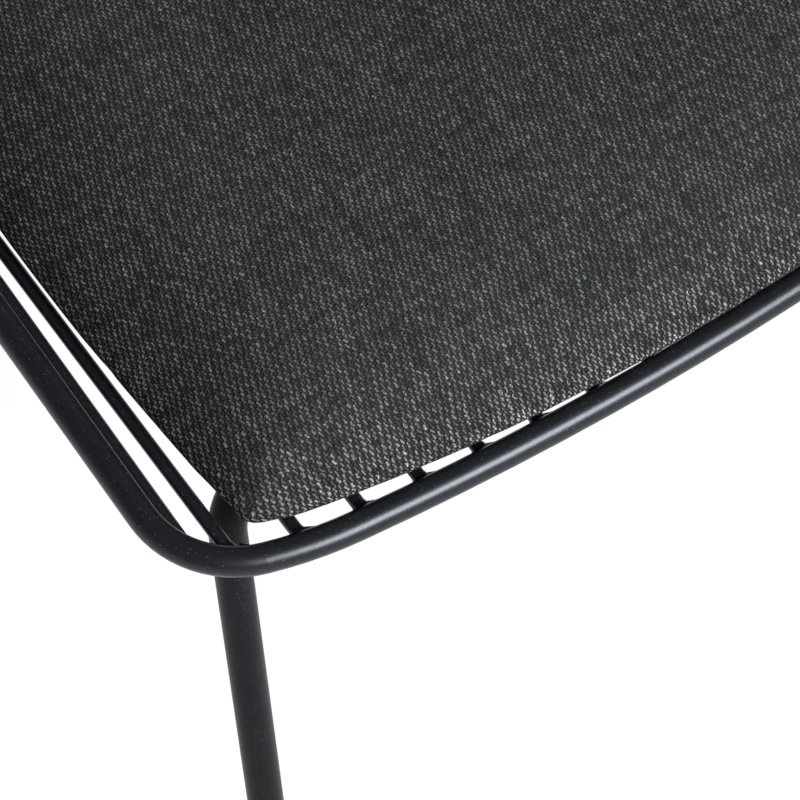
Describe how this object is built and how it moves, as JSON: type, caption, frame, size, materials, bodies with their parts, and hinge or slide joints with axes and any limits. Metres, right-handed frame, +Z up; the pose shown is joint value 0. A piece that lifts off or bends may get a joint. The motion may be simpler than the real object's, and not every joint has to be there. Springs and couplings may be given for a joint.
{
  "type": "metal armchair",
  "caption": "Metal dining armchair: a welded wire seat and back on bent tube leg hoops, rod arms, and a loose woven seat pad that lifts off.",
  "frame": {"origin": "on the floor under the middle of the chair's box", "axes": "+Z up, -Y the way the chair faces, +X to the right of someone facing its front"},
  "size_m": [0.5534, 0.5278, 0.7962],
  "materials": {
    "black_powder_coat": "satin black powder coat on steel",
    "pad_fabric": "coarse charcoal plain weave",
    "pad_foam": "upholstery foam, hidden in the cover",
    "glide_plastic": "moulded black plastic"
  },
  "bodies": {
    "chair_frame": {"arm_left": "black_powder_coat", "arm_right": "black_powder_coat", "back_cross_rod": "black_powder_coat", "back_foot_beads": "black_powder_coat", "back_top_beads": "black_powder_coat", "back_upright_left": "black_powder_coat", "back_upright_right": "black_powder_coat", "back_wire_01": "black_powder_coat", "back_wire_02": "black_powder_coat", "back_wire_03": "black_powder_coat", "back_wire_04": "black_powder_coat", "back_wire_05": "black_powder_coat", "back_wire_06": "black_powder_coat", "back_wire_07": "black_powder_coat", "back_wire_08": "black_powder_coat", "back_wire_09": "black_powder_coat", "back_wire_10": "black_powder_coat", "back_wire_11": "black_powder_coat", "back_wire_12": "black_powder_coat", "back_wire_13": "black_powder_coat", "back_wire_14": "black_powder_coat", "back_wire_15": "black_powder_coat", "back_wire_16": "black_powder_coat", "edge_wire_left": "black_powder_coat", "edge_wire_right": "black_powder_coat", "foot_glides": "glide_plastic", "frame_beads": "black_powder_coat", "front_leg_hoop": "black_powder_coat", "front_rail": "black_powder_coat", "front_wire_beads": "black_powder_coat", "hoop_beads": "black_powder_coat", "rear_leg_hoop": "black_powder_coat", "rear_rail": "black_powder_coat", "rear_wire_beads": "black_powder_coat", "seat_wire_01": "black_powder_coat", "seat_wire_02": "black_powder_coat", "seat_wire_03": "black_powder_coat", "seat_wire_04": "black_powder_coat", "seat_wire_05": "black_powder_coat", "seat_wire_06": "black_powder_coat", "seat_wire_07": "black_powder_coat", "seat_wire_08": "black_powder_coat", "seat_wire_09": "black_powder_coat", "seat_wire_10": "black_powder_coat", "seat_wire_11": "black_powder_coat", "seat_wire_12": "black_powder_coat", "seat_wire_13": "black_powder_coat", "seat_wire_14": "black_powder_coat", "seat_wire_15": "black_powder_coat", "seat_wire_16": "black_powder_coat", "seat_wire_17": "black_powder_coat", "seat_wire_18": "black_powder_coat", "side_rail_left": "black_powder_coat", "side_rail_right": "black_powder_coat", "top_rail": "black_powder_coat"},
    "seat_cushion": {"cushion_cover": "pad_fabric", "cushion_foam": "pad_foam"}
  },
  "joints": [
    {"name": "cushion_lift", "type": "slide", "parent": "chair_frame", "child": "seat_cushion", "axis": [0, 0, 1], "range_m": [0, 0.12]}
  ]
}
